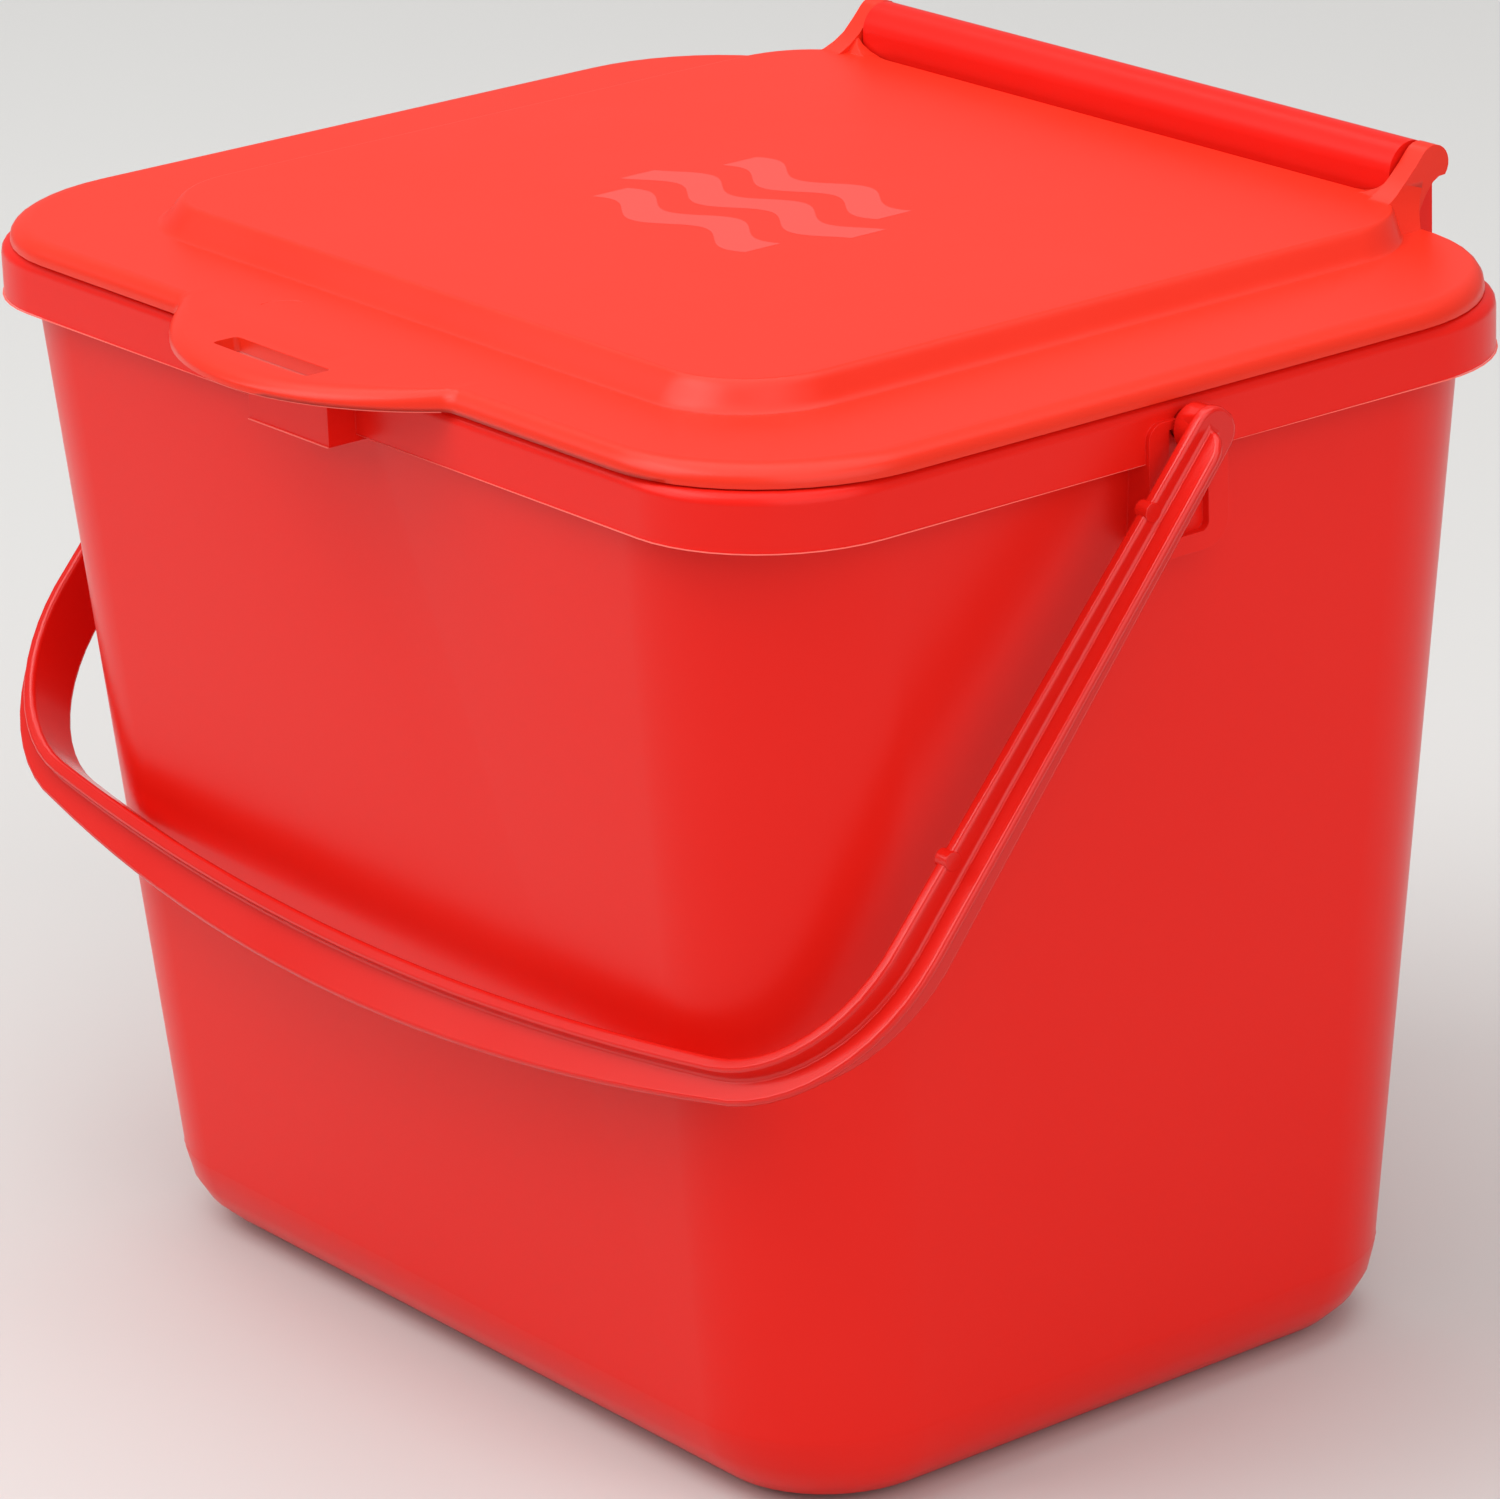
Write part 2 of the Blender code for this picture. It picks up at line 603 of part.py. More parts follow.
def bail_stations():
    """Return the bail's inner face from its right-hand end to the middle, drawn flat.

    Each station is its place, its outward direction, the flange's half-breadth and the web's reach.
    The flange's end is round, and the web ramps up from the level of the pivot.
    """
    bar_end, bow, straight = bail_bar()
    side = Vector((1.0, 0.0))
    blunt = math.degrees(math.asin(BAIL_END_BLUNT / BAIL_END_RADIUS))
    stations = []
    for back, half in arc(0.0, 0.0, BAIL_END_RADIUS, blunt, 90.0, FILLET_STEPS)[:-1]:
        stations.append((Vector((BAIL_INNER, -back)), side, half, BAIL_FLANGE))
    for run, rise in arc(1.0, 0.0, 1.0, 180.0, 90.0, FILLET_STEPS):
        along = BAIL_WEB_RAMP * run
        half = BAIL_END_RADIUS + (BAIL_CORNER_HALF - BAIL_END_RADIUS) * along / straight
        reach = BAIL_FLANGE + (BAIL_WEB_REACH - BAIL_FLANGE) * rise
        stations.append((Vector((BAIL_INNER, along)), side, half, reach))
    corner = Vector((BAIL_INNER - BAIL_CORNER, straight))
    for step, turned in enumerate(arc(0.0, 0.0, 1.0, 0.0, 90.0 - BAIL_BOW_DEG, CORNER_STEPS)):
        outward = Vector(turned)
        half = BAIL_CORNER_HALF + (BAIL_BAR_HALF - BAIL_CORNER_HALF) * step / CORNER_STEPS
        stations.append((corner + outward * BAIL_CORNER, outward, half, BAIL_WEB_REACH))
    for step in range(1, CORNER_STEPS + 1):
        share = 1 - step / CORNER_STEPS
        place = Vector((bar_end * share, BAIL_REACH - bow * share * share))
        outward = Vector((2 * bow * share / bar_end, 1.0)).normalized()
        swell = BAIL_WEB_SWELL * (1 - share * share)
        stations.append((place, outward, BAIL_BAR_HALF, BAIL_WEB_REACH + swell))
    return stations


def both_sides(stations):
    """Return stations from the right-hand side to the middle, with those of the left added."""
    flip = Matrix.Diagonal((-1.0, 1.0))
    mirrored = [(flip @ place, flip @ outward, *sizes) for place, outward, *sizes in stations[-2::-1]]
    return stations + mirrored


def bail_section(half, reach):
    """Return the bail's T-shaped section as (out, up) pairs, soft along its inner face.

    The web draws in with the flange's round end, where it has no reach beyond the flange.
    """
    soft = BAIL_EDGE_ROUND
    drawn_in = min(half / BAIL_END_RADIUS, 1.0)
    low = BAIL_WEB_LOW * drawn_in
    high = (BAIL_WEB_LOW + BAIL_WEB) * drawn_in
    section = arc(soft, half - soft, soft, 180.0, 90.0, FILLET_STEPS)
    section += [(BAIL_FLANGE, half), (BAIL_FLANGE, high), (reach, high)]
    section += [(reach, low), (BAIL_FLANGE, low), (BAIL_FLANGE, -half)]
    section += arc(soft, soft - half, soft, 270.0, 180.0, FILLET_STEPS)
    return section


def bail_body(mesh):
    """Build the bail's flange and web, about its own pivot."""
    sections = []
    for place, outward, half, reach in both_sides(bail_stations()):
        section = []
        for out, up in bail_section(half, reach):
            flat = place + outward * out
            section.append(Vector((flat.x, -flat.y, up)))
        sections.append(section)
    add_loft(mesh, sections)
    bmesh.ops.remove_doubles(mesh, verts=mesh.verts, dist=WELD * MM)


def bail_collar(mesh):
    """Build the collar that keeps the bail's right-hand arm off the lug, about its own pivot."""
    radius = BAIL_END_RADIUS - BAIL_COLLAR_STEP
    add_pin(mesh, radius, LUG_FACE + BAIL_COLLAR_GAP, BAIL_ROOT, 0.0, 0.0)


def bail_pin(mesh):
    """Build the pin on the inside of the bail's right-hand end, about its own pivot."""
    add_pin(mesh, BAIL_PIN_RADIUS, BAIL_PIN_TIP, BAIL_ROOT, 0.0, 0.0)


def make_material(name, roughness):
    """Return a plain moulded-plastic material."""
    material = bpy.data.materials.new(name)
    material.use_nodes = True
    shader = material.node_tree.nodes["Principled BSDF"]
    shader.inputs["Base Color"].default_value = RED
    shader.inputs["Roughness"].default_value = roughness
    shader.inputs["Metallic"].default_value = 0.0
    material.diffuse_color = RED
    return material


def make_object(name, build, collection, origin):
    """Build a mesh object whose origin is moved to the given point, with normals outwards."""
    mesh = bmesh.new()
    build(mesh)
    bmesh.ops.recalc_face_normals(mesh, faces=mesh.faces)
    bmesh.ops.translate(mesh, verts=mesh.verts, vec=-origin)
    data = bpy.data.meshes.new(name)
    mesh.to_mesh(data)
    mesh.free()
    data.shade_smooth()
    data.set_sharp_from_angle(angle=math.radians(SMOOTH_ANGLE_DEG))
    created = bpy.data.objects.new(name, data)
    collection.objects.link(created)
    return created


def make_moulding(name, build, tools, material, collections, origin=Vector()):
    """Build one moulding and the hidden tools that are joined to it or cut from it.

    Each tool is (name, builder, operation, mirrored); the tools ride on the moulding.
    """
    parts, cutters = collections
    moulding = make_object(name, build, parts, origin)
    moulding.data.materials.append(material)
    for tool_name, tool_build, operation, is_mirrored in tools:
        tool = make_object(tool_name, tool_build, cutters, origin)
        tool.data.materials.append(material)
        tool.parent = moulding
        tool.hide_render = True
        tool.display_type = "WIRE"
        if is_mirrored:
            mirror = tool.modifiers.new("other_side", "MIRROR")
            mirror.use_mirror_merge = False
        modifier = moulding.modifiers.new(tool_name, "BOOLEAN")
        modifier.operation = operation
        modifier.object = tool
    return moulding


def main():
    """Build the three mouldings and hang the moving ones on the bucket."""
    for existing in list(bpy.data.objects):
        bpy.data.objects.remove(existing)
    collections = []
    for name in ("lidded_bucket", "cutters"):
        collection = bpy.data.collections.new(name)
        bpy.context.scene.collection.children.link(collection)
        collections.append(collection)

    bucket_tools = (
        ("side_lug", side_lug, "UNION", True),
        ("hinge_rail", hinge_rail, "UNION", False),
        ("rail_hollow", rail_hollow, "DIFFERENCE", False),
        ("hinge_pin", hinge_pin, "UNION", True),
        ("catch_block", catch_block, "UNION", False),
        ("catch_pocket", catch_pocket, "DIFFERENCE", False),
        ("lug_pocket", lug_pocket, "DIFFERENCE", True),
        ("pivot_bore", pivot_bore, "DIFFERENCE", True),
    )
    lid_tools = (
        ("locating_lip", locating_lip, "UNION", False),
        ("tab_slot", tab_slot, "DIFFERENCE", False),
        ("ear_web", ear_web, "UNION", True),
        ("bar_clearance", bar_clearance, "DIFFERENCE", False),
        ("hinge_ear", hinge_ear, "UNION", True),
        ("ear_flare", ear_flare, "UNION", True),
        ("ear_bore", ear_bore, "DIFFERENCE", True),
    )
    bail_tools = (
        ("bail_collar", bail_collar, "UNION", True),
        ("bail_pin", bail_pin, "UNION", True),
    )
    bucket_plastic = make_material("bucket_polypropylene", BUCKET_ROUGHNESS)
    lid_plastic = make_material("lid_polypropylene", LID_ROUGHNESS)
    bail_plastic = make_material("bail_polypropylene", BAIL_ROUGHNESS)

    bucket = make_moulding("bucket", bucket_shell, bucket_tools, bucket_plastic, collections)
    hinge = Vector((0.0, HINGE_Y, HINGE_Z)) * MM
    lid = make_moulding("lid", lid_shell, lid_tools, lid_plastic, collections, hinge)
    lid.location = hinge
    bail = make_moulding("bail_handle", bail_body, bail_tools, bail_plastic, collections)
    bail.location = Vector((0.0, PIVOT_Y, PIVOT_Z)) * MM
    bail.rotation_euler.x = bail_rest_angle()
    for moving in (lid, bail):
        moving.parent = bucket


main()
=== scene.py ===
"""Looks for the lidded bucket: moulded red polypropylene with a paler print on its lid.

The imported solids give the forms. Each moulding is dressed as a copy of its solid with merged
facets, softened edges and smooth shading, and the small marks that moulding leaves are added.
"""

from __future__ import annotations

import json
import logging
import math
from dataclasses import dataclass, field
from enum import Enum
from typing import Any

import bmesh
import bpy
from mathutils import Matrix, Vector
from mathutils.bvhtree import BVHTree

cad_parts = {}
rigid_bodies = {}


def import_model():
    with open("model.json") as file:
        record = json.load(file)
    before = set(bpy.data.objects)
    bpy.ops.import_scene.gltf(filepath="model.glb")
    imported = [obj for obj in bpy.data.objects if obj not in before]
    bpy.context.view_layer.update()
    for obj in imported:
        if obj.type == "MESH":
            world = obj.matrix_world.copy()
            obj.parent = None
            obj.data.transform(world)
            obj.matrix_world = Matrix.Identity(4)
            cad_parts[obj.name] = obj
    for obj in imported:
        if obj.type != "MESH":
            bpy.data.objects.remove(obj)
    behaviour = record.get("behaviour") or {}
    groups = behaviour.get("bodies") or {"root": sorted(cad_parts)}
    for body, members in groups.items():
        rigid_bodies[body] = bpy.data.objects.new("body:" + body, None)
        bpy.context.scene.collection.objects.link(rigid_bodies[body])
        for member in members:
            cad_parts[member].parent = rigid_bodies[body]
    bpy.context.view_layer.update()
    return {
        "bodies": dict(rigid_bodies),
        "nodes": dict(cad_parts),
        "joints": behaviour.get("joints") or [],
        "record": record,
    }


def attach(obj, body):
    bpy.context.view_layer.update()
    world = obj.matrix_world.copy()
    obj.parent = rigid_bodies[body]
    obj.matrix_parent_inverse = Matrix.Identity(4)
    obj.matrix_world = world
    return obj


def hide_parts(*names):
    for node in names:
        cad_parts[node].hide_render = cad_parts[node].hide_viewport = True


LOG = logging.getLogger("lidded_bucket")
MM = 0.001
DOWN = Vector((0.0, 0.0, -1.0))
QUARTER_TURN = math.pi / 2
WELL_ABOVE_M = 1.0

# The Mix node has sockets for each kind of data, and these are the numbers of its colour sockets.
MIX_FIRST = 6
MIX_SECOND = 7
MIX_RESULT = 2


class Body(Enum):
    """The rigid bodies that pieces ride on."""

    BUCKET = "bucket"
    LID = "lid"
    BAIL = "bail_handle"


class FinRun(Enum):
    """The ways that a fin of flash can stand off its edge."""

    OUTWARD = "outward"
    DOWNWARD = "downward"


class Slot(Enum):
    """The record's material slots."""

    BUCKET = "bucket_plastic"
    LID = "lid_plastic"
    BAIL = "bail_plastic"


def linear(colour: str) -> tuple[float, float, float, float]:
    """Turn an sRGB hex colour into linear RGBA.

    Args:
        colour: six hex digits after a hash sign.

    Returns:
        Linear red, green and blue, and an alpha of one.
    """
    channels = []
    for start in (1, 3, 5):
        value = int(colour[start:start + 2], 16) / 255
        channels.append(value / 12.92 if value <= 0.04045 else ((value + 0.055) / 1.055) ** 2.4)
    return channels[0], channels[1], channels[2], 1.0


def add_node(
    tree: bpy.types.NodeTree,
    kind: str,
    inputs: dict[str | int, Any],
    **settings: Any,
) -> bpy.types.Node:
    """Add a shader node with its settings and links.

    Args:
        tree: the material's node tree.
        kind: Blender's name for the type of node.
        inputs: a value, or the output that feeds it, for each input by name or number.
        settings: attributes of the node itself.

    Returns:
        The new node.
    """
    node = tree.nodes.new(kind)
    for name, value in settings.items():
        setattr(node, name, value)
    for name, value in inputs.items():
        if isinstance(value, bpy.types.NodeSocket):
            tree.links.new(value, node.inputs[name])
        else:
            node.inputs[name].default_value = value
    return node


def cycles_per_metre(size_mm: float) -> float:
    """Return a texture scale whose features are the given size."""
    return 1.0 / (size_mm * MM)


@dataclass(frozen=True)
class Polypropylene:
    """Injection-moulded polypropylene, dyed through, from a lightly etched mould.

    The dye makes a deep even colour, the etched mould gives a satin surface with a fine grain,
    and the melt's flow leaves broad, faint clouds in colour and gloss.
    """

    name: str
    colour: str
    cloud_colour: str
    roughness: float
    roughness_spread: float = 0.04
    cloud_mm: float = 70.0
    cloud_detail: float = 3.0
    cloud_breakup: float = 0.5
    cloud_low: float = 0.2
    cloud_high: float = 0.8
    grain_mm: float = 0.8
    grain_detail: float = 2.0
    grain_breakup: float = 0.55
    grain_depth_mm: float = 0.02
    grain_strength: float = 0.3
    ior: float = 1.49
    specular: float = 0.5

    def material(self) -> bpy.types.Material:
        """Make the node material of this finish.

        Returns:
            The new material.
        """
        material = bpy.data.materials.new(self.name)
        material.use_nodes = True
        tree = material.node_tree
        shader = tree.nodes["Principled BSDF"]
        place = add_node(tree, "ShaderNodeTexCoord", {}).outputs["Object"]
        clouds = add_node(
            tree,
            "ShaderNodeTexNoise",
            {
                "Vector": place,
                "Scale": cycles_per_metre(self.cloud_mm),
                "Detail": self.cloud_detail,
                "Roughness": self.cloud_breakup,
            },
        ).outputs["Fac"]
        colour = add_node(
            tree,
            "ShaderNodeMix",
            {
                "Factor": clouds,
                MIX_FIRST: linear(self.colour),
                MIX_SECOND: linear(self.cloud_colour),
            },
            data_type="RGBA",
        ).outputs[MIX_RESULT]
        # The grain is drawn coarser than the real etching of about 0.1 mm, so that it shows.
        grain = add_node(
            tree,
            "ShaderNodeTexNoise",
            {
                "Vector": place,
                "Scale": cycles_per_metre(self.grain_mm),
                "Detail": self.grain_detail,
                "Roughness": self.grain_breakup,
            },
        ).outputs["Fac"]
        gloss = add_node(
            tree,
            "ShaderNodeMapRange",
            {
                "Value": clouds,
                "From Min": self.cloud_low,
                "From Max": self.cloud_high,
                "To Min": self.roughness - self.roughness_spread,
                "To Max": self.roughness + self.roughness_spread,
            },
            interpolation_type="SMOOTHSTEP",
        ).outputs["Result"]
        bump = add_node(
            tree,
            "ShaderNodeBump",
            {"Height": grain, "Strength": self.grain_strength, "Distance": self.grain_depth_mm * MM},
        ).outputs["Normal"]
        tree.links.new(colour, shader.inputs["Base Color"])
        tree.links.new(gloss, shader.inputs["Roughness"])
        tree.links.new(bump, shader.inputs["Normal"])
        shader.inputs["IOR"].default_value = self.ior
        shader.inputs["Specular IOR Level"].default_value = self.specular
        return material


@dataclass(frozen=True)
class PadInk:
    """Pad-printed ink: a thin opaque film, paler than the plastic and a little duller."""

    name: str
    colour: str
    roughness: float
    speckle_mm: float = 0.7
    speckle_detail: float = 2.0
    speckle: float = 0.05

    def material(self) -> bpy.types.Material:
        """Make the node material of this finish.

        Returns:
            The new material.
        """
        material = bpy.data.materials.new(self.name)
        material.use_nodes = True
        tree = material.node_tree
        shader = tree.nodes["Principled BSDF"]
        place = add_node(tree, "ShaderNodeTexCoord", {}).outputs["Object"]
        speckle = add_node(
            tree,
            "ShaderNodeTexNoise",
            {
                "Vector": place,
                "Scale": cycles_per_metre(self.speckle_mm),
                "Detail": self.speckle_detail,
            },
        ).outputs["Fac"]
        value = add_node(
            tree,
            "ShaderNodeMapRange",
            {"Value": speckle, "To Min": 1.0 - self.speckle, "To Max": 1.0 + self.speckle},
        ).outputs["Result"]
        colour = add_node(
            tree,
            "ShaderNodeHueSaturation",
            {"Value": value, "Color": linear(self.colour)},
        ).outputs["Color"]
        tree.links.new(colour, shader.inputs["Base Color"])
        shader.inputs["Roughness"].default_value = self.roughness
        return material


@dataclass(frozen=True)
class SoftEdges:
    """How a moulding's sharp edges are rounded, as a polished mould leaves them."""

    radius_mm: float = 0.4
    segments: int = 3
    sharp_deg: float = 36.0
    room_mm: float = 0.9
    corner_deg: float = 14.0

    def apply(self, mesh: bmesh.types.BMesh) -> None:
        """Round each connected run of sharp edges by itself, as far as it has room.

        Args:
            mesh: the welded solid, whose edges are numbered.
        """
        limit = math.radians(self.sharp_deg)
        sharp = {edge for edge in mesh.edges if edge.is_manifold and edge.calc_face_angle() > limit}
        for run in self.runs({edge for edge in sharp if not self.is_cramped(edge, sharp)}):
            bmesh.ops.bevel(
                mesh,
                geom=run,
                offset=self.radius_mm * MM,
                offset_type="OFFSET",
                segments=self.segments,
                profile=0.5,
                affect="EDGES",
                clamp_overlap=True,
                material=-1,
            )

    def is_cramped(self, edge: bmesh.types.BMEdge, sharp: set[bmesh.types.BMEdge]) -> bool:
        """Tell whether an edge ends at a short side edge or in a needle-like corner.

        Args:
            edge: the edge to look at.
            sharp: all the sharp edges of its mesh.

        Returns:
            Whether there is too little room to round it.
        """
        for vert in edge.verts:
            sides = [side for side in vert.link_edges if side not in sharp]
            if any(side.calc_length() < self.room_mm * MM for side in sides):
                return True
            if any(loop.calc_angle() < math.radians(self.corner_deg) for loop in vert.link_loops):
                return True
        return False

    @staticmethod
    def runs(edges: set[bmesh.types.BMEdge]) -> list[list[bmesh.types.BMEdge]]:
        """Sort edges into connected runs.

        Args:
            edges: numbered edges of one mesh.

        Returns:
            The runs, in the order of the mesh.
        """
        found = []
        waiting = dict.fromkeys(sorted(edges, key=lambda edge: edge.index))
        while waiting:
            run = [next(iter(waiting))]
            del waiting[run[0]]
            for edge in run:
                linked = [near for vert in edge.verts for near in vert.link_edges if near in waiting]
                for near in dict.fromkeys(linked):
                    del waiting[near]
                    run.append(near)
            found.append(run)
        return found


@dataclass(frozen=True)
class MouldFlash:
    """A thin fin of plastic that a mould's joint leaves along a lower outside edge.

    The face below such an edge points down by more than the share under_share, and the wall
    beside it leans by less than the share lean_share.
    """

    reach_mm: float = 0.3
    thickness_mm: float = 0.14
    level_mm: float = 0.0
    front_of_mm: float = 200.0
    tolerance_mm: float = 0.3
    inset_mm: float = 0.0
    run: FinRun = FinRun.OUTWARD
    under_share: float = 0.7
    lean_share: float = 0.6

    def build(self, mesh: bmesh.types.BMesh) -> bmesh.types.BMesh:
        """Make the fin from the edges of a welded solid.

        Args:
            mesh: the welded solid.

        Returns:
            The fin's own mesh.
        """
        fin = mesh.copy()
        fin.normal_update()
        normals = {edge: self.side_normal(edge) for edge in fin.edges}
        kept = [edge for edge, normal in normals.items() if normal is not None]
        spare = [edge for edge, normal in normals.items() if normal is None]
        outward = {}
        for edge in kept:
            for vert in edge.verts:
                outward.setdefault(vert, Vector()).xy += normals[edge].xy
        bmesh.ops.delete(fin, geom=list(fin.faces), context="FACES_ONLY")
        bmesh.ops.delete(fin, geom=spare, context="EDGES")
        loose = [vert for vert in fin.verts if not vert.link_edges]
        bmesh.ops.delete(fin, geom=loose, context="VERTS")
        grown = bmesh.ops.extrude_edge_only(fin, edges=kept)
        new_verts = [item for item in grown["geom"] if isinstance(item, bmesh.types.BMVert)]
        for vert in new_verts:
            base = next(near for edge in vert.link_edges for near in edge.verts if near in outward)
            aside = outward[base].normalized()
            way = aside if self.run is FinRun.OUTWARD else DOWN
            vert.co += way * self.reach_mm * MM - aside * self.inset_mm * MM
        for vert, side in outward.items():
            vert.co -= side.normalized() * self.inset_mm * MM
        bmesh.ops.recalc_face_normals(fin, faces=fin.faces)
        bmesh.ops.solidify(fin, geom=list(fin.faces), thickness=self.thickness_mm * MM)
        bmesh.ops.recalc_face_normals(fin, faces=fin.faces)
        return fin

    def side_normal(self, edge: bmesh.types.BMEdge) -> Vector | None:
        """Find the outward normal beside a lower outside edge at the fin's level.

        Args:
            edge: an edge of the welded solid.

        Returns:
            The normal of the wall above the edge, or nothing for any other edge.
        """
        middle = (edge.verts[0].co + edge.verts[1].co) / 2
        at_level = all(abs(vert.co.z - self.level_mm * MM) < self.tolerance_mm * MM for vert in edge.verts)
        if not at_level or middle.y > self.front_of_mm * MM or len(edge.link_faces) != 2:
            return None
        below, beside = sorted((face.normal for face in edge.link_faces), key=lambda normal: normal.z)
        is_lower = below.z < -self.under_share and abs(beside.z) < self.lean_share
        is_outside = beside.xy.dot(middle.xy) > 0
        return beside.copy() if is_lower and is_outside else None


def place_mesh(
    mesh: bmesh.types.BMesh,
    name: str,
    body: Body,
    material: bpy.types.Material,
    smooth_deg: float = 48.0,
) -> bpy.types.Object:
    """Turn a finished bmesh into a smooth object that rides on a body.

    Args:
        mesh: the shape, in metres and in place; it is freed.
        name: the piece's name.
        body: the body that it moves with.
        material: what it is made of.
        smooth_deg: the angle above which an edge stays sharp.

    Returns:
        The new object.
    """
    data = bpy.data.meshes.new(name)
    mesh.to_mesh(data)
    mesh.free()
    data.materials.clear()
    data.materials.append(material)
    data.shade_smooth()
    data.set_sharp_from_angle(angle=math.radians(smooth_deg))
    piece = bpy.data.objects.new(name, data)
    bpy.context.scene.collection.objects.link(piece)
    # Large flat faces keep their own normal, so that rounded edges don't tint them.
    even = piece.modifiers.new("even_shading", "WEIGHTED_NORMAL")
    even.keep_sharp = True
    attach(piece, body.value)
    LOG.info("%s: %d faces", name, len(data.polygons))
    return piece


def height_on(solid: bmesh.types.BMesh, x: float, y: float) -> float:
    """Return the height of a solid's top surface at a place, in metres."""
    hit = BVHTree.FromBMesh(solid).ray_cast(Vector((x, y, WELL_ABOVE_M)), DOWN)
    return hit[0].z


@dataclass
class Moulding:
    """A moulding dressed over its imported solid."""

    node: str
    body: Body
    slot: Slot
    finish: Polypropylene
    flash_painted_highlight_finish: Polypropylene
    soft_edges: SoftEdges = SoftEdges()
    merge_mm: float = 0.02
    sliver_mm: float = 0.005
    flat_deg: float = 0.4

    def build(self, frame: dict[str, Any]) -> None:
        """Make the dressed moulding and its marks, and let it stand for its solid.

        Args:
            frame: the loaded frame.
        """
        mesh = self.welded(frame["nodes"][self.node])
        self.add_marks(mesh)
        self.shape(mesh)
        self.soft_edges.apply(mesh)
        piece = place_mesh(mesh, f"{self.node}_moulding", self.body, self.finish.material())
        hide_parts(self.node)

    def welded(self, node: bpy.types.Object) -> bmesh.types.BMesh:
        """Copy a solid with its facets joined to whole faces.

        Args:
            node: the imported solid.

        Returns:
            The copy, with numbered edges.
        """
        mesh = bmesh.new()
        mesh.from_mesh(node.data)
        bmesh.ops.remove_doubles(mesh, verts=mesh.verts, dist=self.merge_mm * MM)
        bmesh.ops.dissolve_degenerate(mesh, edges=mesh.edges, dist=self.sliver_mm * MM)
        bmesh.ops.dissolve_limit(
            mesh,
            angle_limit=math.radians(self.flat_deg),
            verts=mesh.verts,
            edges=mesh.edges,
        )
        mesh.edges.index_update()
        return mesh

    def shape(self, mesh: bmesh.types.BMesh) -> None:
        """Work fine forms into the moulding's own surface; a plain moulding has none."""

    def add_marks(self, solid: bmesh.types.BMesh) -> None:
        """Add the small separate marks on the moulding; a plain moulding has none."""

    def add_mark(self, mesh: bmesh.types.BMesh, name: str, finish: Polypropylene) -> None:
        """Place one mark on the moulding's body, in the finish given."""
        place_mesh(mesh, name, self.body, finish.material())


@dataclass
class BucketMoulding(Moulding):
    """The bucket, with mould flash under its rim and a fine line round its foot."""

    flashes: tuple[tuple[str, MouldFlash], ...] = (
        ("rim_flash", MouldFlash(level_mm=185.5, reach_mm=0.3)),
        ("catch_flash", MouldFlash(level_mm=184.2, reach_mm=0.35, front_of_mm=-96.0)),
    )
    foot_line_mm: float = 15.8
    foot_line_half_mm: float = 0.4
    foot_line_rise_mm: float = 0.12
    cut_mm: float = 0.001

    def shape(self, mesh: bmesh.types.BMesh) -> None:
        """Raise a fine line round the foot, where the mould's base plate meets its walls.

        Args:
            mesh: the welded bucket.
        """
        ridge = []
        for step in (-1, 0, 1):
            level = (self.foot_line_mm + step * self.foot_line_half_mm) * MM
            faces = [face for face in mesh.faces if self.is_outer_wall(face)]
            around = dict.fromkeys(item for face in faces for item in (*face.verts, *face.edges))
            cut = bmesh.ops.bisect_plane(
                mesh,
                geom=[*faces, *around],
                plane_co=(0.0, 0.0, level),
                plane_no=(0.0, 0.0, 1.0),
                dist=self.cut_mm * MM,
            )
            if step == 0:
                ridge = [item for item in cut["geom_cut"] if isinstance(item, bmesh.types.BMVert)]
        mesh.normal_update()
        for vert in ridge:
            vert.co.xy += vert.normal.xy.normalized() * self.foot_line_rise_mm * MM
        mesh.edges.index_update()

    def is_outer_wall(self, face: bmesh.types.BMFace) -> bool:
        """Tell whether a face belongs to the wall's outside and crosses the foot line.

        Args:
            face: a face of the welded bucket.

        Returns:
            Whether the foot line is cut into it.
        """
        heights = [vert.co.z for vert in face.verts]
        spans = min(heights) < self.foot_line_mm * MM < max(heights)
        return spans and face.normal.xy.dot(face.calc_center_median().xy) > 0

    def add_marks(self, solid: bmesh.types.BMesh) -> None:
        """Add the flash under the rim and the catch block."""
        for name, flash in self.flashes:
            self.add_mark(flash.build(solid), name, self.flash_painted_highlight_finish)


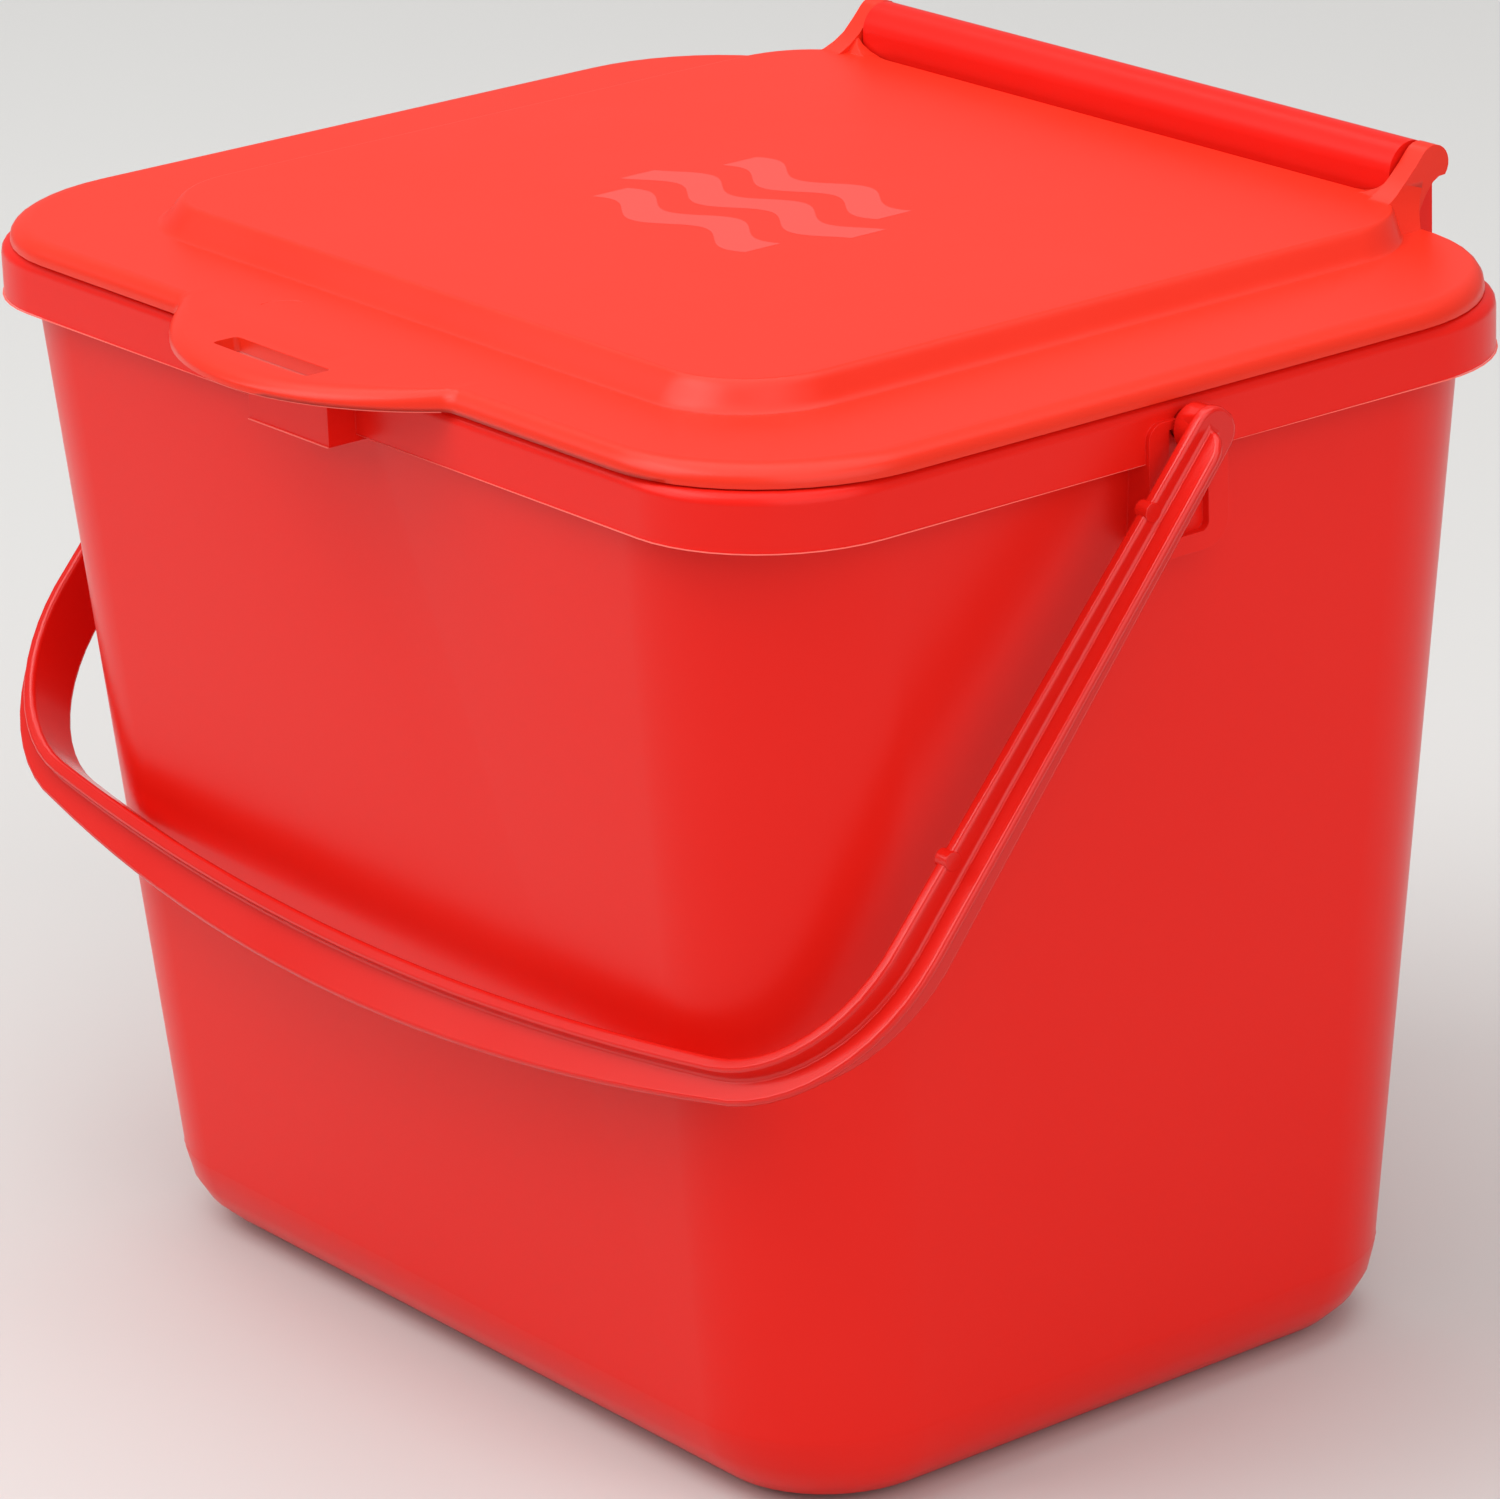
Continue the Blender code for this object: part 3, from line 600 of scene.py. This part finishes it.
@dataclass
class LidMoulding(Moulding):
    """The lid, with mould flash under its pull tab and a small crescent beside the slot."""

    tab_flash: MouldFlash = MouldFlash(
        level_mm=195.8,
        reach_mm=0.3,
        inset_mm=0.4,
        front_of_mm=-92.6,
        run=FinRun.DOWNWARD,
    )
    crescent_centre_mm: tuple[float, float] = (-20.6, -83.0)
    crescent_radius_mm: float = 5.0
    crescent_from_deg: float = 95.0
    crescent_to_deg: float = 195.0
    crescent_width_mm: float = 0.5
    crescent_rise_mm: float = 0.08
    crescent_steps: int = 16
    crescent_weld_mm: float = 0.0005

    def add_marks(self, solid: bmesh.types.BMesh) -> None:
        """Add the flash under the tab and the raised crescent on the flange."""
        self.add_mark(self.tab_flash.build(solid), "tab_flash", self.flash_painted_highlight_finish)
        self.add_mark(self.crescent(solid), "flange_crescent", self.finish)

    def crescent(self, solid: bmesh.types.BMesh) -> bmesh.types.BMesh:
        """Sweep a low three-sided ridge along an arc on the flange.

        Args:
            solid: the welded lid that carries it.

        Returns:
            The ridge's mesh.
        """
        mesh = bmesh.new()
        radius = self.crescent_radius_mm * MM
        half = self.crescent_width_mm * MM / 2
        rise = self.crescent_rise_mm * MM
        start = Matrix.Rotation(math.radians(self.crescent_from_deg), 4, "Z")
        centre = Vector((*self.crescent_centre_mm, 0.0)) * MM
        carrier = centre + start @ Vector((radius, 0.0, 0.0))
        centre.z = height_on(solid, carrier.x, carrier.y)
        corners = []
        for across, up in ((-half, -rise), (half, -rise), (0.0, rise)):
            offset = start @ Vector((radius + across, 0.0, up))
            corners.append(mesh.verts.new(centre + offset))
        face = mesh.faces.new(corners)
        bmesh.ops.spin(
            mesh,
            geom=[face, *face.edges, *face.verts],
            cent=centre,
            axis=(0.0, 0.0, 1.0),
            angle=math.radians(self.crescent_to_deg - self.crescent_from_deg),
            steps=self.crescent_steps,
            use_merge=False,
            use_duplicate=False,
        )
        bmesh.ops.remove_doubles(mesh, verts=mesh.verts, dist=self.crescent_weld_mm * MM)
        bmesh.ops.recalc_face_normals(mesh, faces=mesh.faces)
        return mesh


@dataclass
class BailMoulding(Moulding):
    """The bail, with round ejector pads on the edges of its two arms."""

    pivot_m: Vector = field(default_factory=Vector)
    arm_fall_deg: float = 49.24
    flange_inside_mm: float = 125.3
    flange_mm: float = 2.7
    pad_places_mm: tuple[float, ...] = (17.3, 84.6)
    pad_edge_mm: tuple[float, ...] = (3.9, 5.1)
    pad_radius_mm: float = 1.7
    pad_proud_mm: float = 0.12
    pad_segments: int = 28
    pad_rim_deg: float = 45.0
    pad_round_mm: float = 0.1
    pad_round_segments: int = 2
    soft_edges: SoftEdges = SoftEdges(radius_mm=0.8, segments=4)

    def add_marks(self, solid: bmesh.types.BMesh) -> None:
        """Add the pads that the mould's ejector pins leave, on both arms.

        Args:
            solid: the welded bail, which the pads need nothing from.
        """
        mesh = bmesh.new()
        for along, aside in zip(self.pad_places_mm, self.pad_edge_mm):
            for side in (1, -1):
                self.add_pad(mesh, along, aside, side)
        self.add_mark(mesh, "ejector_pads", self.finish)

    def add_pad(self, mesh: bmesh.types.BMesh, along: float, aside: float, side: int) -> None:
        """Add one pad.

        Args:
            mesh: the mesh that takes it.
            along: distance from the pivot along the arm, in millimetres.
            aside: distance from the arm's middle to the pad's, in millimetres.
            side: 1 on the right-hand arm, -1 on the left.
        """
        depth = self.flange_mm + 2 * self.pad_proud_mm
        middle = side * (self.flange_inside_mm + self.flange_mm / 2)
        tilt = Matrix.Rotation(math.radians(self.arm_fall_deg), 4, "X")
        place = self.pivot_m + tilt @ Vector((middle, -along, aside)) * MM
        made = bmesh.ops.create_cone(
            mesh,
            cap_ends=True,
            segments=self.pad_segments,
            radius1=self.pad_radius_mm * MM,
            radius2=self.pad_radius_mm * MM,
            depth=depth * MM,
            matrix=Matrix.Translation(place) @ Matrix.Rotation(QUARTER_TURN, 4, "Y"),
        )
        edges = dict.fromkeys(edge for vert in made["verts"] for edge in vert.link_edges)
        bmesh.ops.bevel(
            mesh,
            geom=[edge for edge in edges if edge.calc_face_angle() > math.radians(self.pad_rim_deg)],
            offset=self.pad_round_mm * MM,
            offset_type="OFFSET",
            segments=self.pad_round_segments,
            profile=0.5,
            affect="EDGES",
            material=-1,
        )


@dataclass
class LidPrint:
    """Three wavy bands of paler ink in a round field on the lid's panel."""

    finish: PadInk
    centre_mm: tuple[float, float] = (-2.0, 7.0)
    field_radius_mm: float = 31.0
    band_width_mm: float = 8.0
    band_pitch_mm: float = 15.0
    wave_mm: float = 27.0
    swing_mm: float = 3.0
    film_mm: float = 0.06
    steps: int = 48

    def build(self, lid: bpy.types.Object) -> None:
        """Lay the bands on the panel.

        Args:
            lid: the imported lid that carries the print.
        """
        solid = bmesh.new()
        solid.from_mesh(lid.data)
        centre = Vector((*self.centre_mm, 0.0)) * MM
        centre.z = height_on(solid, centre.x, centre.y) - self.film_mm * MM / 2
        solid.free()
        mesh = bmesh.new()
        for row in (-1, 0, 1):
            self.add_band(mesh, row * self.band_pitch_mm)
        bmesh.ops.translate(mesh, verts=mesh.verts, vec=centre)
        bmesh.ops.recalc_face_normals(mesh, faces=mesh.faces)
        place_mesh(mesh, "lid_print", Body.LID, self.finish.material())

    def add_band(self, mesh: bmesh.types.BMesh, offset_mm: float) -> None:
        """Add one wavy band, as long as the round field is wide at its offset.

        Args:
            mesh: the mesh that takes it.
            offset_mm: distance from the field's middle to the band's, in millimetres.
        """
        half = math.sqrt(self.field_radius_mm ** 2 - (abs(offset_mm) + self.band_width_mm / 2) ** 2)
        # A grid of one unit each way, which is then stretched and waved.
        grid = bmesh.ops.create_grid(mesh, x_segments=self.steps, y_segments=1, size=0.5)
        for vert in grid["verts"]:
            along = vert.co.x * 2 * half
            wave = self.swing_mm * math.sin(math.tau * along / self.wave_mm)
            across = vert.co.y * self.band_width_mm
            vert.co = Vector((along, offset_mm + wave + across, 0.0)) * MM
        faces = list(dict.fromkeys(face for vert in grid["verts"] for face in vert.link_faces))
        grown = bmesh.ops.extrude_face_region(mesh, geom=faces, use_keep_orig=True)
        raised = [item for item in grown["geom"] if isinstance(item, bmesh.types.BMVert)]
        bmesh.ops.translate(mesh, verts=raised, vec=(0.0, 0.0, self.film_mm * MM))


@dataclass(frozen=True)
class SoftLamp:
    """A large square lamp that faces the bucket."""

    name: str
    place_m: tuple[float, float, float]
    size_m: float
    power_w: float

    def build(self, target: Vector) -> None:
        """Add the lamp.

        Args:
            target: the place that it faces, in metres.
        """
        data = bpy.data.lights.new(self.name, "AREA")
        data.size = self.size_m
        data.energy = self.power_w
        lamp = bpy.data.objects.new(self.name, data)
        aim = (target - Vector(self.place_m)).to_track_quat("-Z", "Y")
        lamp.matrix_world = Matrix.Translation(self.place_m) @ aim.to_matrix().to_4x4()
        bpy.context.scene.collection.objects.link(lamp)


@dataclass
class Studio:
    """Pale floor, soft light and the camera at the photograph's angle."""

    azimuth_deg: float = 52.41
    elevation_deg: float = 19.84
    roll_deg: float = -2.10
    distance_m: float = 1.2893
    target_m: tuple[float, float, float] = (0.0022, -0.0010, 0.1027)
    focal_px: float = 7009.4
    photo_width_px: float = 1500.0
    sensor_mm: float = 36.0
    clip_end_m: float = 100.0
    floor_size_m: float = 12.0
    floor_colour: str = "#CFCECC"
    floor_roughness: float = 0.9
    sky_colour: str = "#FFFFFF"
    sky_strength: float = 0.3
    lamps: tuple[SoftLamp, ...] = (
        SoftLamp("key_light", (-0.9, -1.7, 1.8), size_m=2.0, power_w=35.0),
        SoftLamp("top_light", (-0.2, -0.1, 2.2), size_m=2.8, power_w=42.0),
        SoftLamp("side_light", (2.2, -0.4, 1.4), size_m=2.6, power_w=34.0),
    )

    def build(self) -> None:
        """Add the camera, the lights, the sky and the floor."""
        self.add_camera()
        for lamp in self.lamps:
            lamp.build(Vector(self.target_m))
        self.add_sky()
        self.add_floor()

    def add_camera(self) -> None:
        """Add the camera and make it the scene's own."""
        data = bpy.data.cameras.new("photo_camera")
        data.sensor_fit = "HORIZONTAL"
        data.sensor_width = self.sensor_mm
        data.lens = self.focal_px / self.photo_width_px * self.sensor_mm
        data.clip_end = self.clip_end_m
        camera = bpy.data.objects.new("photo_camera", data)
        turn = Matrix.Rotation(math.radians(self.azimuth_deg), 4, "Z")
        turn @= Matrix.Rotation(math.radians(90.0 - self.elevation_deg), 4, "X")
        back = turn.col[2].to_3d()
        turn @= Matrix.Rotation(math.radians(self.roll_deg), 4, "Z")
        camera.matrix_world = Matrix.Translation(Vector(self.target_m) + back * self.distance_m) @ turn
        bpy.context.scene.collection.objects.link(camera)
        bpy.context.scene.camera = camera
        # Plain sRGB keeps the plastic's red as saturated as it is to the eye.
        bpy.context.scene.view_settings.view_transform = "Standard"

    def add_sky(self) -> None:
        """Add an even pale sky."""
        world = bpy.data.worlds.new("pale_sky")
        world.use_nodes = True
        sky = world.node_tree.nodes["Background"]
        sky.inputs["Color"].default_value = linear(self.sky_colour)
        sky.inputs["Strength"].default_value = self.sky_strength
        bpy.context.scene.world = world

    def add_floor(self) -> None:
        """Add the plain pale floor that the bucket stands on."""
        mesh = bmesh.new()
        bmesh.ops.create_grid(mesh, x_segments=1, y_segments=1, size=self.floor_size_m / 2)
        data = bpy.data.meshes.new("floor")
        mesh.to_mesh(data)
        mesh.free()
        # Matt paper scatters light evenly, so that the floor mirrors nothing.
        material = bpy.data.materials.new("matt_paper")
        material.use_nodes = True
        shader = material.node_tree.nodes["Principled BSDF"]
        shader.inputs["Base Color"].default_value = linear(self.floor_colour)
        shader.inputs["Roughness"].default_value = self.floor_roughness
        data.materials.append(material)
        floor = bpy.data.objects.new("floor", data)
        bpy.context.scene.collection.objects.link(floor)


def joint_place(frame: dict[str, Any], name: str) -> Vector:
    """Return where a joint of the record turns, in metres."""
    joints = frame["record"]["behaviour"]["joints"]
    return Vector(next(joint["pos_m"] for joint in joints if joint["name"] == name))


def main() -> None:
    """Load the frame, dress every moulding and set up the studio."""
    logging.basicConfig(level=logging.INFO, format="%(name)s %(message)s")
    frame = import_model()
    satin = Polypropylene(
        "moulded_polypropylene_body", "#E6190F", "#EA2116", roughness=0.32, specular=0.2
    )
    # The lid's colour is paler and more orange than the bucket's, though it is the same plastic: a painted
    # sheen for the pale reflection on its top.
    lid_satin_painted_sheen = Polypropylene(
        "moulded_polypropylene_lid_painted_sheen", "#E62B15", "#EA331D", roughness=0.34, specular=0.3
    )
    # The bail's colour is a little darker than the bucket's, though it is the same plastic: painted shade
    # that tones down the key light on its bar.
    semi_gloss_painted_shade = Polypropylene(
        "moulded_polypropylene_bail_painted_shade", "#D6160D", "#DA1D13", roughness=0.22, specular=0.4
    )
    # Thin flash lets a little light through, and its paler colour is also a painted highlight for the
    # light that its thin edges catch.
    thin = Polypropylene("flash_with_painted_highlight", "#FF6E62", "#FF7C70", roughness=0.4)
    BucketMoulding("bucket", Body.BUCKET, Slot.BUCKET, satin, thin).build(frame)
    LidMoulding("lid", Body.LID, Slot.LID, lid_satin_painted_sheen, thin).build(frame)
    pivot = joint_place(frame, "bail_swing")
    BailMoulding("bail_handle", Body.BAIL, Slot.BAIL, semi_gloss_painted_shade, thin, pivot_m=pivot).build(frame)
    LidPrint(PadInk("pad_printed_ink", "#F04B42", roughness=0.5)).build(frame["nodes"]["lid"])
    Studio().build()


if __name__ == "__main__":
    main()
